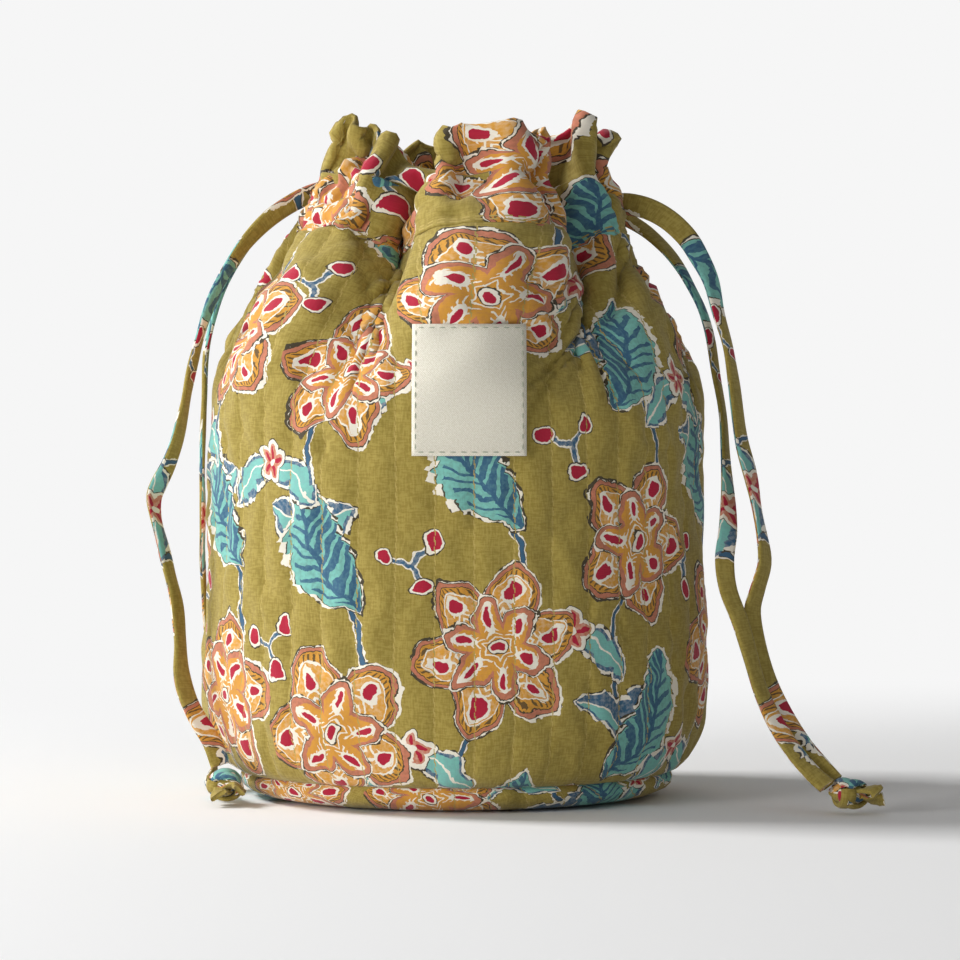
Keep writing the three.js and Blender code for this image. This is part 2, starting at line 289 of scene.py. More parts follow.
# Running stitches in lines up the cloth, 3.4 mm apart and 1.8 mm long, and in rows along a seam, 2.8 mm
# apart and 1.7 mm long
stitchSteps = """
lineAt = u * {perLine}
lineOff = lineAt fract - 0.5 absolute
lineMm = 0.5 - lineOff * {pitch}
dashAt = v * 0.294
dash = lineAt floor * 0.37 + dashAt fract < 0.52
"""
seamSteps = """
rowMm{n} = v - {level} absolute
rowDash{n} = u * 0.36 fract < 0.6
"""

# The cells that each motif's ink stays in
motifCells = {"p": "isFlower", "q": "isFlower", "o": "isBlossom", "m": "isBlossom", "s": "isSpray",
              "l": "isSpray", "b": "isBerries"}
# The coats of ink in printing order: distance, how far the coat reaches, ink, and what it stays in where
# that is less than its motif's cells
coats = """
vineLoose 2.5 halo
vine 1.05 outline
vine 0.85 slate
sd 1.25 outline
sdLoose 0.85 halo
sd -0.2 slate
sd -1.4 teal supper
sabsW 0.35 halo sinner
ld 1.5 outline
ldLoose 1.05 halo
ld 0.1 outline
ld -0.25 teal
ld -0.6 slate lveinLower
ld -2.0 slate lveinUpper
labsW 0.8 slate linner
md 1.2 outline
mdLoose 2.3 halo
md -0.1 slate
md -1.2 teal
mabsW 0.35 halo minner
bstalk 1.2 halo bstalkIn
bstalk 0.7 slate bstalkIn
bberry 1.0 outline
bberry 0.6 halo
bberry -0.1 crimson
od 0.9 outline
od 0.45 halo
od -1.3 coral
ospot 1.0 crimson
or 1.3 halo
pd 1.35 outline
pdLoose 0.9 halo
pd 0.2 outline
pd -0.2 coral
pd -1.9 outline
pd -2.3 ochre
pd -2.8 hatch phatchIn
pd -5.0 halo
pd -5.6 ochre
prib 2.8 halo pribIn
pspot 1.25 halo
pspot 0.9 crimson
qd 1.1 outline
qdLoose 0.8 halo
qd 0.1 outline
qd -0.3 coral
qd -2.5 ochre
qrib 2.4 halo qribIn
qspot 1.3 halo
qspot 0.8 crimson
qr 3.3 outline
qr 2.9 halo
qr 1.9 crimson
"""
signs = {"+": "ADD", "-": "SUBTRACT", "*": "MULTIPLY", "/": "DIVIDE", "<": "LESS_THAN", ">": "GREATER_THAN",
         "^": "POWER", "min": "MINIMUM", "max": "MAXIMUM", "arctan2": "ARCTAN2"}


def runSteps(tree, made, text, **values):
    def valueOf(word):
        return made[word] if word in made else float(word)

    for line in text.format(**values).strip().splitlines():
        name, _, first, *words = line.split()
        value = valueOf(first)
        while words:
            word = words.pop(0)
            operation, inputs = signs.get(word, word.upper()), {0: value}
            if word in signs:
                inputs[1] = valueOf(words.pop(0))
            if word == "*" and words[:1] == ["+"]:
                operation, inputs[2] = "MULTIPLY_ADD", valueOf(words[1])
                words = words[2:]
            value = addNode(tree, "Math", {"operation": operation}, inputs).outputs[0]
        made[name] = value


def printedCotton(name, stitchPitch=0, seamRows=(), shift=(0, 0)):
    material, tree, shader = newMaterial(name)
    uvMap = addNode(tree, "UVMap", {"uv_map": "clothMm"})
    place = addNode(tree, "VectorMath", {"operation": "ADD"}, {0: uvMap.outputs[0], 1: (*shift, 0)})
    made, wander = {}, {}
    for key, (scale, detail) in printNoises.items():
        source = place
        if key in yarnStretch:
            source = addNode(tree, "Mapping", {}, {0: place.outputs[0], "Scale": yarnStretch[key]})
        noise = addNode(tree, "TexNoise", {"noise_dimensions": "2D"}, {
            "Vector": source.outputs[0], "Scale": scale, "Detail": detail})
        made[key], wander[key] = noise.outputs[0], noise.outputs["Color"]
    frayed = place
    for key, reach in (("drift", printLayout["edgeWander"]), ("fine", printLayout["fineWander"])):
        frayed = addNode(tree, "VectorMath", {"operation": "MULTIPLY_ADD"}, {
            0: wander[key], 1: (reach,) * 3, 2: frayed.outputs[0]})
    frayedMm = addNode(tree, "SeparateXYZ", {}, {0: frayed.outputs[0]})
    plainMm = addNode(tree, "SeparateXYZ", {}, {0: uvMap.outputs[0]})
    made.update(ux=frayedMm.outputs[0], vy=frayedMm.outputs[1], u=plainMm.outputs[0], v=plainMm.outputs[1])

    width, height = printLayout["cellWidth"], printLayout["cellHeight"]
    runSteps(tree, made, columnSteps, perWidth=1 / width)
    # each column of motifs slides up by its own amount, so that none line up in rows
    for key, number in (("columnSlide", "column"), ("cornerSlide", "cornerColumn")):
        slide = addNode(tree, "TexWhiteNoise", {"noise_dimensions": "1D"}, {"W": made[number]})
        made[key] = slide.outputs["Value"]
    runSteps(tree, made, latticeSteps, perHeight=1 / height, cellWidth=width, cellHeight=height,
             halfWidth=width / 2, halfHeight=height / 2)
    cell = addNode(tree, "CombineXYZ", {}, {0: made["column"], 1: made["row"]})
    chance = addNode(tree, "TexWhiteNoise", {"noise_dimensions": "2D"}, {"Vector": cell.outputs[0]})
    draws = addNode(tree, "SeparateXYZ", {}, {0: chance.outputs["Color"]})
    made.update(one=draws.outputs[0], two=draws.outputs[1], three=draws.outputs[2])
    runSteps(tree, made, chanceSteps)
    for steps, shapes in ((petalSteps, petalRings), (spotSteps, petalSpots), (ribSteps, petalRibs)):
        for key, shape in shapes.items():
            runSteps(tree, made, steps, p=key, **shape)
    for key, leaf in leaves.items():
        tilt = math.radians(leaf["tilt"])
        runSteps(tree, made, leafSteps, p=key, cos=math.cos(tilt), sin=math.sin(tilt), **leaf)
    runSteps(tree, made, berrySteps)
    runSteps(tree, made, edgeSteps)

    # the ink lies a little unevenly, and the dyed ground has faint yarn-wide bars
    hold = addNode(tree, "MapRange", {}, {0: made["patch"], 1: 0.25, 2: 0.6, 3: 0.72, 4: 1.0})
    made["hold"] = hold.outputs[0]
    runSteps(tree, made, "yarn = weft + warp")
    yarnShare = addNode(tree, "MapRange", {}, {0: made["yarn"], 1: 0.85, 2: 1.15, 3: 0.1, 4: 0.95})
    colour = addNode(tree, "Mix", {"data_type": "RGBA"}, {
        0: yarnShare.outputs[0], 6: linearColour(inks["groundShade"]),
        7: linearColour(inks["ground"])}).outputs[2]
    for line in coats.strip().splitlines():
        distance, reach, ink, *within = line.split()
        if not within and distance[0] in motifCells:
            within = [motifCells[distance[0]]]
        within += ["hold"] * (ink in unevenInks)
        runSteps(tree, made, " * ".join([f"mask = {distance} < {reach}", *within]))
        colour = addNode(tree, "Mix", {"data_type": "RGBA"}, {
            0: made["mask"], 6: colour, 7: linearColour(inks[ink])}).outputs[2]

    # each groove: distance from its line, where a stitch shows, half the thread's width
    grooves = []
    if stitchPitch:
        runSteps(tree, made, stitchSteps, perLine=1 / stitchPitch, pitch=stitchPitch)
        grooves.append(("lineMm", "dash", 0.34))
    for number, level in enumerate(seamRows):
        runSteps(tree, made, seamSteps, n=number, level=level)
        grooves.append((f"rowMm{number}", f"rowDash{number}", 0.3))
    runSteps(tree, made, "height = yarn * 0.3")
    for line, dash, halfWidth in grooves:
        runSteps(tree, made, f"shown = {line} < {halfWidth} * {dash}")
        colour = addNode(tree, "Mix", {"data_type": "RGBA"}, {
            0: made["shown"], 6: colour, 7: linearColour(inks["thread"])}).outputs[2]
        dent = addNode(tree, "MapRange", {"interpolation_type": "SMOOTHSTEP"}, {
            0: made[line], 1: 0.0, 2: 1.6, 3: -0.35, 4: 0.0})
        made["dent"] = dent.outputs[0]
        runSteps(tree, made, "height = height + dent")
    bump = addNode(tree, "Bump", {}, {"Strength": 0.6, "Distance": 0.0006, "Height": made["height"]})
    rough = addNode(tree, "MapRange", {}, {0: made["yarn"], 1: 0.7, 2: 1.3, 3: 0.92, 4: 0.8})
    feed(shader, {"Base Color": colour, "Normal": bump.outputs[0], "Roughness": rough.outputs[0],
                  "Sheen Weight": 0.15, "Sheen Roughness": 0.5, "Specular IOR Level": 0.25})
    return material


quiltPitch = 559 / 41
quiltedCotton = printedCotton("quiltedBlockPrintedCotton", stitchPitch=quiltPitch, shift=(11, 8))
headerCotton = printedCotton("wovenBlockPrintedCotton", seamRows=(1.4, 3.0), shift=(3, 34))
stripCotton = printedCotton("foldedStripPrintedCotton", shift=(24, 5))
print("stage: printed cotton")


# Drawstrings: strips of the same cotton, folded in three and edge-stitched. Points in mm, as in the part.
strings = {
    "stringRightOuter": {
        "node": "drawstring_right_outer", "width": 8.2, "thickness": 2.0,
        "rolls": [
            (0, 5), (0.14, 10), (0.28, 60), (0.42, 66), (0.52, 50), (0.6, 74), (0.72, 40), (0.85, 45),
            (1, 10)],
        "route": [
            (46.9, 3, 210.4), (51, 2.5, 210.9), (55.5, 1.4, 211.6), (61.5, -2.2, 212), (69, -7.2, 210),
            (76, -12, 205.8), (82, -15.6, 199.8), (86, -18, 193.2), (90.5, -20, 183.9), (93.2, -22, 172.9),
            (96.3, -24, 161.5), (97.9, -27, 149.8), (99.1, -30, 138.5), (100.7, -33, 126.9),
            (103.2, -37, 115.4), (105.1, -40, 105), (107, -43, 94.6), (107.6, -45, 85.2),
            (105.1, -46, 76.2), (103.3, -47, 67.9), (104.9, -49, 56.5), (108.5, -52, 44.5),
            (113.8, -56, 32.7), (119.6, -61, 22.7), (125.4, -65.8, 15.2), (129.4, -69, 10.4)]},
    "stringRightInner": {
        "node": "drawstring_right_inner", "width": 7.2, "thickness": 2.0,
        "rolls": [
            (0, 40), (0.25, 72), (0.48, 70), (0.63, 12), (0.78, 50), (1, 30)],
        "route": [
            (46.5, 6.8, 210), (51, 6.9, 210.7), (56.5, 7, 209.6), (67, 4, 204), (74.7, -1.5, 196.6),
            (80.5, -8, 188.7), (84.6, -12, 180.8), (87.8, -15, 173), (91, -17, 161.6), (92.9, -20.5, 148.8),
            (94.3, -24, 136.1), (95.1, -28.5, 122.4), (95.5, -34.5, 108.4), (95.3, -41, 96.2),
            (93.8, -46, 85.9), (94.7, -51, 75.7), (98.7, -54, 64.7), (102.1, -56, 53.4), (105.7, -58, 41.4),
            (110.4, -62, 30.6), (116.3, -67.4, 21.2), (122.4, -72, 14), (127, -75, 9.8)]},
    "stringLeftOuter": {
        "node": "drawstring_left_outer", "width": 7.4, "thickness": 2.0,
        "rolls": [
            (0, 10), (0.1, 45), (0.25, 74), (0.44, 76), (0.53, 42), (0.62, 72), (0.8, 62), (1, 20)],
        "route": [
            (-45, -1.9, 216.6), (-50, -2, 216.2), (-57.5, -4, 213), (-67, -8, 206.2), (-75.6, -10, 197.2),
            (-82, -12, 187.4), (-86.8, -12, 177.4), (-90.6, -12, 167), (-93.2, -12, 157.1),
            (-95.4, -13, 147.1), (-97.6, -14, 136.4), (-99.6, -15, 126.4), (-102.4, -16, 118.3),
            (-105.6, -17, 111.9), (-107.3, -18, 106.9), (-106.5, -19, 99.8), (-103.9, -20, 90.3),
            (-101.4, -21, 79.7), (-98.8, -22, 69.1), (-97.3, -24, 56.8), (-96.8, -27, 45.5),
            (-94.3, -31, 36.8), (-90.2, -34, 28.9), (-85.6, -36, 21.6), (-82.4, -37.6, 13.6)]},
    "stringLeftInner": {
        "node": "drawstring_left_inner", "width": 7.2, "thickness": 2.0,
        "rolls": [
            (0, 90), (1, 90)],
        "route": [
            (-45, 1.9, 216.6), (-50, 2.2, 216.2), (-57.5, 3.6, 212.6), (-67, 6, 205.6), (-76, 8, 196.4),
            (-82.6, 9, 185.8), (-87.2, 10, 174.8), (-90, 10.5, 162), (-91.4, 11, 147), (-92, 11.5, 130),
            (-92.2, 12, 112), (-92.2, 13, 94), (-92.2, 16, 76), (-91.4, 21, 60), (-90.2, 25, 45),
            (-89.4, 24, 31), (-88.4, 17, 18), (-87.4, 6, 9), (-86.8, -8, 5.5), (-85.2, -20, 5),
            (-82.3, -33.6, 6.2)]},
}


def lengthAlong(line):
    return np.concatenate([[0], np.cumsum(np.linalg.norm(np.diff(line, axis=0), axis=1))])


def smoothLine(points, spacing):
    # a curve through the points, resampled to even steps
    points = np.asarray(points, float)
    ends = np.vstack([2 * points[0] - points[1], points, 2 * points[-1] - points[-2]])
    t = np.linspace(0, 1, 12, endpoint=False)[:, None]
    runs = []
    for a, b, c, d in zip(ends, ends[1:], ends[2:], ends[3:]):
        runs.append(b + 0.5 * t * ((c - a) + t * ((2 * a - 5 * b + 4 * c - d) + t * (3 * (b - c) + d - a))))
    line = np.vstack(runs + [points[-1:]])
    reach = lengthAlong(line)
    even = np.linspace(0, reach[-1], int(reach[-1] / spacing) + 1)
    return np.stack([np.interp(even, reach, line[:, k]) for k in range(3)], 1), even


def ringTurns(count):
    return np.linspace(0, 2 * np.pi, count, endpoint=False)


def swept(line, wide, thick, x, y):
    # rings of points about the line, at x along wide and y along thick
    return line[:, None] + wide[:, None] * x[..., None] + thick[:, None] * y[..., None]


def stripMesh(line, reach, width, thickness, rolls, towards=(0, -1, 0), side=14, crumple=0.35, seed=1):
    # a flat strip swept along the line; rolls turn it about the line, in degrees along its length
    rng = np.random.default_rng(seed)
    towards = np.asarray(towards, float)
    tangent = unit(np.gradient(line, axis=0))
    facing = unit(towards - tangent * (tangent @ towards)[:, None])
    across = np.cross(tangent, facing)
    share = reach / reach[-1]
    turn = np.radians(np.interp(share, *zip(*rolls)))
    turn = np.convolve(np.pad(turn, 4, mode="edge"), np.ones(9) / 9, "valid")[:, None]
    wide = across * np.cos(turn) + facing * np.sin(turn)
    thick = facing * np.cos(turn) - across * np.sin(turn)
    c, s = np.cos(ringTurns(side)), np.sin(ringTurns(side))
    flatX = np.sign(c) * np.abs(c) ** 0.75 * width / 2
    flatY = np.sign(s) * np.abs(s) ** 0.55 * thickness / 2
    wave = sum(np.sin(share[:, None] * rng.uniform(20, 70) + rng.uniform(0, 6.3)
                      + flatX * rng.uniform(-0.5, 0.5)) for _ in range(5)) * crumple / 3
    cup = 0.012 * flatX ** 2 * np.sin(share[:, None] * 9 + seed)
    points = swept(line, wide, thick, flatX, flatY + wave + cup)
    faces, (row, column) = gridFaces(len(line), side, closed=True)
    uv = np.stack([reach[row], column * (2 * width / side)], -1)
    faces = faces.tolist()
    uv = uv.reshape(-1, 2).tolist()
    for end, order in ((0, 1), (len(line) - 1, -1)):
        faces.append([end * side + k for k in range(side)][::order])
        uv += [(reach[end], k) for k in range(side)]
    return points.reshape(-1, 3), faces, uv


stringLines = {}
for number, (name, string) in enumerate(strings.items()):
    line, reach = smoothLine(string["route"], 2.0)
    strip = stripMesh(line, reach, string["width"], string["thickness"], string["rolls"], seed=number + 2)
    stringLines[name] = (addPiece(name, *strip, stripCotton, "strip_cotton", string["node"]), line, reach)
print("stage: drawstrings")

# Knots: each a crumpled overhand knot of the two strips, with their cut ends beyond it
knots = {
    "knotRight": {"node": "knot_right", "start": (129.5, -71.6, 7.5), "axis": (16, -5.4, -1.2),
                  "tails": ((9, -3.5, -1.5), (8, 1.5, 2.2)),
                  "strings": ("stringRightOuter", "stringRightInner")},
    "knotLeft": {"node": "knot_left", "start": (-81.8, -36.4, 8.3), "axis": (2, -9, -2.2),
                 "tails": ((7.5, -3.5, 1.8), (7, 3.6, -0.8)),
                 "strings": ("stringLeftOuter", "stringLeftInner")},
}
# each turn of strip: its tilt in degrees, place along the core, radius and width
knotTurns = ((34, 3.6, 4.7, 5.6), (-30, 7.2, 4.5, 5.4))
knotShape = {"coreStart": -1.5, "coreLength": 13, "coreWidth": 4.6, "coreHeight": 4.0, "turnThickness": 1.05,
             "tailStart": 8, "tailWidth": 6.4, "tailThickness": 1.8, "aboveFloor": 0.3}


def knotMesh(start, axis, tails, seed):
    start, axis = np.array(start, float), unit(np.array(axis, float))
    up = unit(np.array([0, 0, 1.0]) - axis * axis[2])
    right = np.cross(axis, up)
    parts = []

    def local(along, x, y):
        return start + axis * along + right * x + up * y

    # the core, then two turns of strip that cross over it, then the cut ends
    core = [local(knotShape["coreStart"] + knotShape["coreLength"] * t, 0, 0) for t in np.linspace(0, 1, 12)]
    line, reach = smoothLine(core, 1.0)
    bulge = np.sin(np.clip(reach / reach[-1], 0.03, 0.97) * np.pi)[:, None] ** 0.6
    ringX = np.cos(ringTurns(32)) * knotShape["coreWidth"]
    ringY = np.sin(ringTurns(32)) * knotShape["coreHeight"]
    points = swept(line, right[None], up[None], ringX * bulge, ringY * bulge)
    faces, (row, column) = gridFaces(len(line), 32, closed=True)
    parts.append((points, faces, np.stack([row * 1.0, column * 0.9], -1)))
    ring = ringTurns(14)
    for tilt, centre, radius, width in knotTurns:
        slope = math.tan(math.radians(tilt))
        turnLine = [local(centre + slope * radius * math.cos(a), radius * 1.06 * math.cos(a),
                          radius * 0.92 * math.sin(a))
                    for a in np.linspace(0.6, 0.6 + 2 * math.pi * 0.98, 40)]
        line, reach = smoothLine(turnLine, 0.9)
        outward = unit(line - local(centre, 0, 0))
        wide = np.cross(unit(np.gradient(line, axis=0)), outward)
        flatX = np.cos(ring) * width / 2
        flatY = np.sign(np.sin(ring)) * np.abs(np.sin(ring)) ** 0.6 * knotShape["turnThickness"]
        points = swept(line, wide, outward, flatX, flatY - 0.06 * flatX ** 2)
        faces, (row, column) = gridFaces(len(line), 14, closed=True)
        parts.append((points, faces, np.stack([row * 0.9 + 40 * centre, column * 0.8], -1)))
    for number, (long, sideways, rise) in enumerate(tails):
        tailLine = [local(knotShape["tailStart"] + long * t, sideways * t * (1.6 - 0.6 * t),
                          rise * math.sin(t * 2.4)) for t in np.linspace(0, 1, 7)]
        rolls = [(0, 40 * number), (1, 70 - 90 * number)]
        points, faces, uv = stripMesh(*smoothLine(tailLine, 0.8), knotShape["tailWidth"],
                                      knotShape["tailThickness"], rolls, towards=right * 0.3 + up,
                                      crumple=0.5, seed=seed + number)
        parts.append((points, faces, np.array(uv) + (17 * number, 9)))
    allPoints, allFaces, allUv, first = [], [], [], 0
    for points, faces, uv in parts:
        allPoints.append(points.reshape(-1, 3))
        allFaces += [[first + k for k in face] for face in faces]
        allUv.append(uv.reshape(-1, 2))
        first += len(allPoints[-1])
    return np.vstack(allPoints), allFaces, np.vstack(allUv)


for number, (name, knot) in enumerate(knots.items()):
    points, faces, uv = knotMesh(knot["start"], knot["axis"], knot["tails"], 30 + number)
    points[:, 2] = np.maximum(points[:, 2], knotShape["aboveFloor"])
    piece = addPiece(name, points, faces, uv, stripCotton, "strip_cotton", knot["node"])
    for stringName in knot["strings"]:
        stringPiece, line, reach = stringLines[stringName]
        first = stringName == knot["strings"][0]
print("stage: knots")

# The cloth, as one surface: where each point of the flat wall and header ends up once it is gathered
cloth = {
    "bellyRadius": 88.6, "bellyHeight": 46, "waistRadius": 86.8, "waistHeight": 95, "shoulderHeight": 157,
    "seamRadius": 75.9, "seamHeight": 9.8, "headerSeam": 206, "cinchHeight": 228, "neckRadius": 47.5,
    "topHeight": 241, "topFlare": 2, "neckShift": 2.5, "seamSlope": 0.45, "topSlope": 0.3, "flatWidth": 559,
    "columns": 164, "rows": 72,
    # heights where the folds, their lean, the tucks and the crowns begin, and how far up they are full
    "foldFoot": 138, "foldFull": 212, "leanFoot": 165, "leanOver": 50, "tuckFoot": 200, "tuckOver": 16,
    "crownFoot": 216, "crownOver": 20,
    "pinch": 0.72, "valleySharpness": 1.5, "riseSharpness": 1.35, "tuckSkew": 0.06, "tuckOut": 3.5,
    "tuckFall": 0.35,
}
# each fold's angle from the front towards +X low down, how far it leans by the neck, its depth there, and
# how many small tucks the string draws between it and the next fold
folds = [(-90, 0, 7, 3), (-22, -9, 34, 4), (37, 20, 36, 3), (96, 3, 8, 3), (158, 0, 20, 3), (214, 0, 19, 3)]
tuckDepths = (8.5, 12.5)
# where the ruffle stands higher or lower than the rest: angle, rise, and how wide; then small waves of
# its edge: size, number around, and phase in degrees
crowns = [(-66, 7.5, 17), (12, -1.5, 16), (64, 4.0, 18), (150, 2.0, 25), (-140, 2.5, 20)]
crownWaves = [(0.9, 9, 40), (0.7, 17, 0)]


def between(h, low, high):
    return (h - cloth[low]) / (cloth[high] - cloth[low])


def crestRadius(h):
    below = 1 - between(np.minimum(h, cloth["bellyHeight"]), "seamHeight", "bellyHeight")
    low = blend(cloth["seamRadius"], cloth["bellyRadius"], np.sqrt(np.clip(1 - below * below, 0, 1)))
    body = blend(cloth["bellyRadius"], cloth["waistRadius"], ease(between(h, "bellyHeight", "waistHeight")))
    rise = ease(np.clip(between(h, "shoulderHeight", "cinchHeight"), 0, 1) ** cloth["riseSharpness"])
    flare = cloth["topFlare"] * ease(between(h, "cinchHeight", "topHeight"))
    return np.where(h < cloth["bellyHeight"], low, blend(body, cloth["neckRadius"], rise) + flare)


heights = np.linspace(cloth["seamHeight"], cloth["topHeight"], 1500)
radii = crestRadius(heights)
reaches = np.concatenate([[0], np.cumsum(np.hypot(np.diff(heights), np.diff(radii)))])
seamReach = float(np.interp(cloth["headerSeam"], heights, reaches))
topReach = float(np.interp(cloth["topHeight"], heights, reaches))


def gatheredPoint(angle, h):
    # angle in degrees from the front, in flat cloth; h is the height that the crest has there
    strength = ease(between(h, "foldFoot", "foldFull"))
    leaning = ease((h - cloth["leanFoot"]) / cloth["leanOver"])
    drawn = ease((h - cloth["tuckFoot"]) / cloth["tuckOver"])
    rng = np.random.default_rng(3)
    angle = (angle + 90) % 360 - 90
    bearing, dip, tuck = np.array(angle, float), np.zeros(angle.shape), np.zeros(angle.shape)
    for number, (start, lean, depth, tucks) in enumerate(folds):
        end, nextLean, nextDepth, _ = folds[(number + 1) % len(folds)]
        end = end + 360 if end < start else end
        here = (angle >= start) & (angle < end)
        share = (angle - start) / (end - start)
        pinched = share - np.sin(2 * np.pi * share) / (2 * np.pi) * cloth["pinch"] * strength
        low = start + lean * leaning
        high = end + nextLean * leaning
        bearing = np.where(here, low + (high - low) * pinched, bearing)
        shape = ((1 + np.cos(2 * np.pi * share)) / 2) ** cloth["valleySharpness"]
        dip = np.where(here, shape * np.where(share < 0.5, depth, nextDepth), dip)
        skew = share + cloth["tuckSkew"] * np.sin(2 * np.pi * share + number * 2)
        sizes = rng.uniform(*tuckDepths, tucks)
        size = sizes[np.clip((skew * tucks).astype(int), 0, tucks - 1)]
        tuck = np.where(here, size * (1 - np.cos(2 * np.pi * skew * tucks)) / 2, tuck)
    dip = dip * strength
    tuck = tuck * drawn
    radius = crestRadius(h) - dip - tuck + cloth["tuckOut"] * drawn
    slope = blend(cloth["seamSlope"], cloth["topSlope"], ease(between(h, "headerSeam", "topHeight")))
    crown = sum(rise * np.exp(-(((bearing - at + 180) % 360 - 180) / wide) ** 2) for at, rise, wide in crowns)
    for size, waves, phase in crownWaves:
        crown = crown + size * np.sin(np.radians(bearing * waves + phase))
    z = h - dip * slope - tuck * cloth["tuckFall"] + crown * ease((h - cloth["crownFoot"]) / cloth["crownOver"])
    turn = np.radians(bearing)
    return np.stack([radius * np.sin(turn) + cloth["neckShift"] * leaning, -radius * np.cos(turn), z], -1)


# The gathers are settled by a cloth simulation, at ten times the size, where the solver holds thin cloth best.
# The lower wall and the line of the string are held; the cloth's rest shape is the flat wall.
settling = {
    "scale": 10, "frames": 22, "heldBelow": 120, "freeAbove": 175, "stringHeight": 218, "pressure": 2.0,
    "headerStiffness": 0.3, "quiltStiffness": 4.0, "clothGap": 0.015, "quiltEnd": 198, "quiltFade": 8,
}


def settled(grid):
    rows, columns = grid.shape[:2]
    scale = settling["scale"] * mm
    mesh = bpy.data.meshes.new("settlingCloth")
    faces = gridFaces(rows, columns, closed=True)[0]
    mesh.from_pydata((grid.reshape(-1, 3) * scale).tolist(), [], faces.tolist())
    piece = bpy.data.objects.new("settlingCloth", mesh)
    scene.collection.objects.link(piece)
    turn = np.radians(np.arange(columns) * 360 / columns - 180)
    reach = np.linspace(0, topReach, rows)
    crest = np.interp(reach, reaches, heights)
    flatRadius = cloth["flatWidth"] / (2 * np.pi)
    flat = np.stack(np.broadcast_arrays(
        flatRadius * np.sin(turn), -flatRadius * np.cos(turn), reach[:, None] + cloth["seamHeight"]), -1)
    piece.shape_key_add(name="gathered")
    rest = piece.shape_key_add(name="flat")
    rest.data.foreach_set("co", (flat * scale).astype(np.float32).ravel())
    rest.value = 0
    quilt = piece.vertex_groups.new(name="quilt")
    held = piece.vertex_groups.new(name="held")
    string = int(np.argmin(np.abs(crest - settling["stringHeight"])))
    quilted = 1 - ease((crest - settling["quiltEnd"]) / settling["quiltFade"])
    pinned = 1 - ease((crest - settling["heldBelow"]) / (settling["freeAbove"] - settling["heldBelow"]))
    for row in range(rows):
        points = [row * columns + k for k in range(columns)]
        quilt.add(points, float(quilted[row]), "REPLACE")
        held.add(points, 1.0 if row in (string, string + 1) else float(pinned[row]), "REPLACE")
    modifier = piece.modifiers.new("gathering", "CLOTH")
    for name, value in {
            "quality": 5, "mass": 0.3, "tension_stiffness": 20, "compression_stiffness": 20,
            "shear_stiffness": 6, "bending_stiffness": settling["headerStiffness"],
            "bending_stiffness_max": settling["quiltStiffness"],
            "tension_damping": 8, "compression_damping": 8, "shear_damping": 5, "bending_damping": 0.5,
            "air_damping": 3, "vertex_group_bending": "quilt", "vertex_group_pressure": "quilt",
            "vertex_group_mass": "held", "pin_stiffness": 1, "rest_shape_key": rest, "use_pressure": True,
            "uniform_pressure_force": settling["pressure"]}.items():
        setattr(modifier.settings, name, value)
    modifier.settings.effector_weights.gravity = 0
    modifier.collision_settings.use_collision = False
    modifier.collision_settings.use_self_collision = True
    modifier.collision_settings.self_distance_min = settling["clothGap"]
    modifier.point_cache.frame_start, modifier.point_cache.frame_end = 1, settling["frames"]
    for frameNumber in range(1, settling["frames"] + 1):
        scene.frame_set(frameNumber)
    result = piece.evaluated_get(bpy.context.evaluated_depsgraph_get()).data
    places = np.empty(len(result.vertices) * 3)
    result.vertices.foreach_get("co", places)
    bpy.data.objects.remove(piece)
    scene.frame_set(1)
    return places.reshape(rows, columns, 3) / scale


gridAngle = np.arange(cloth["columns"]) * 360 / cloth["columns"] - 180
gridHeight = np.interp(np.linspace(0, topReach, cloth["rows"]), reaches, heights)
grid = gatheredPoint(*np.meshgrid(gridAngle, gridHeight))
grid = settled(grid)
print("stage: gathers settled")


def tapWeights(t):
    return np.stack([-0.5 * t + t ** 2 - 0.5 * t ** 3, 1 - 2.5 * t ** 2 + 1.5 * t ** 3,
                     0.5 * t + 2 * t ** 2 - 1.5 * t ** 3, -0.5 * t ** 2 + 0.5 * t ** 3])


def onCloth(angle, reach):
    # a point of the cloth's middle surface by bicubic reading of the grid
    column = (np.asarray(angle, float) + 180) / 360 * grid.shape[1]
    row = np.clip(np.asarray(reach, float) / topReach, 0, 1) * (grid.shape[0] - 1)
    c0, r0 = np.floor(column).astype(int), np.minimum(np.floor(row).astype(int), grid.shape[0] - 2)
    wc, wr = tapWeights(column - c0), tapWeights(row - r0)
    out = 0
    for k in range(4):
        rowTap = np.clip(r0 + k - 1, 0, grid.shape[0] - 1)
        for m in range(4):
            out = out + (wr[k] * wc[m])[..., None] * grid[rowTap, (c0 + m - 1) % grid.shape[1]]
    return out


# The tight string draws small upright puckers into the cloth above and below it. The other waves in
# puckered only make them uneven.
stringPuckers = {"height": 219, "count": 58, "depth": 1.7, "above": 20, "below": 18, "flutes": 25,
                 "fluteDepth": 2.3}


def puckered(angle, reach):
    turn = np.radians(np.asarray(angle, float))
    wave = np.cos(stringPuckers["count"] * turn + 1.6 * np.sin(7 * turn + 1) + 1.1 * np.sin(13 * turn))
    size = 0.65 + 0.35 * np.sin(11 * turn + 2) * np.sin(5 * turn)
    off = reach - float(np.interp(stringPuckers["height"], heights, reaches))
    near = np.exp(-(off / np.where(off > 0, stringPuckers["above"], stringPuckers["below"])) ** 2)
    flute = np.cos(stringPuckers["flutes"] * turn + 1.2 * np.sin(5 * turn) + 0.8) * ease((off + 4) / 16)
    return stringPuckers["depth"] * wave * size * near + stringPuckers["fluteDepth"] * flute


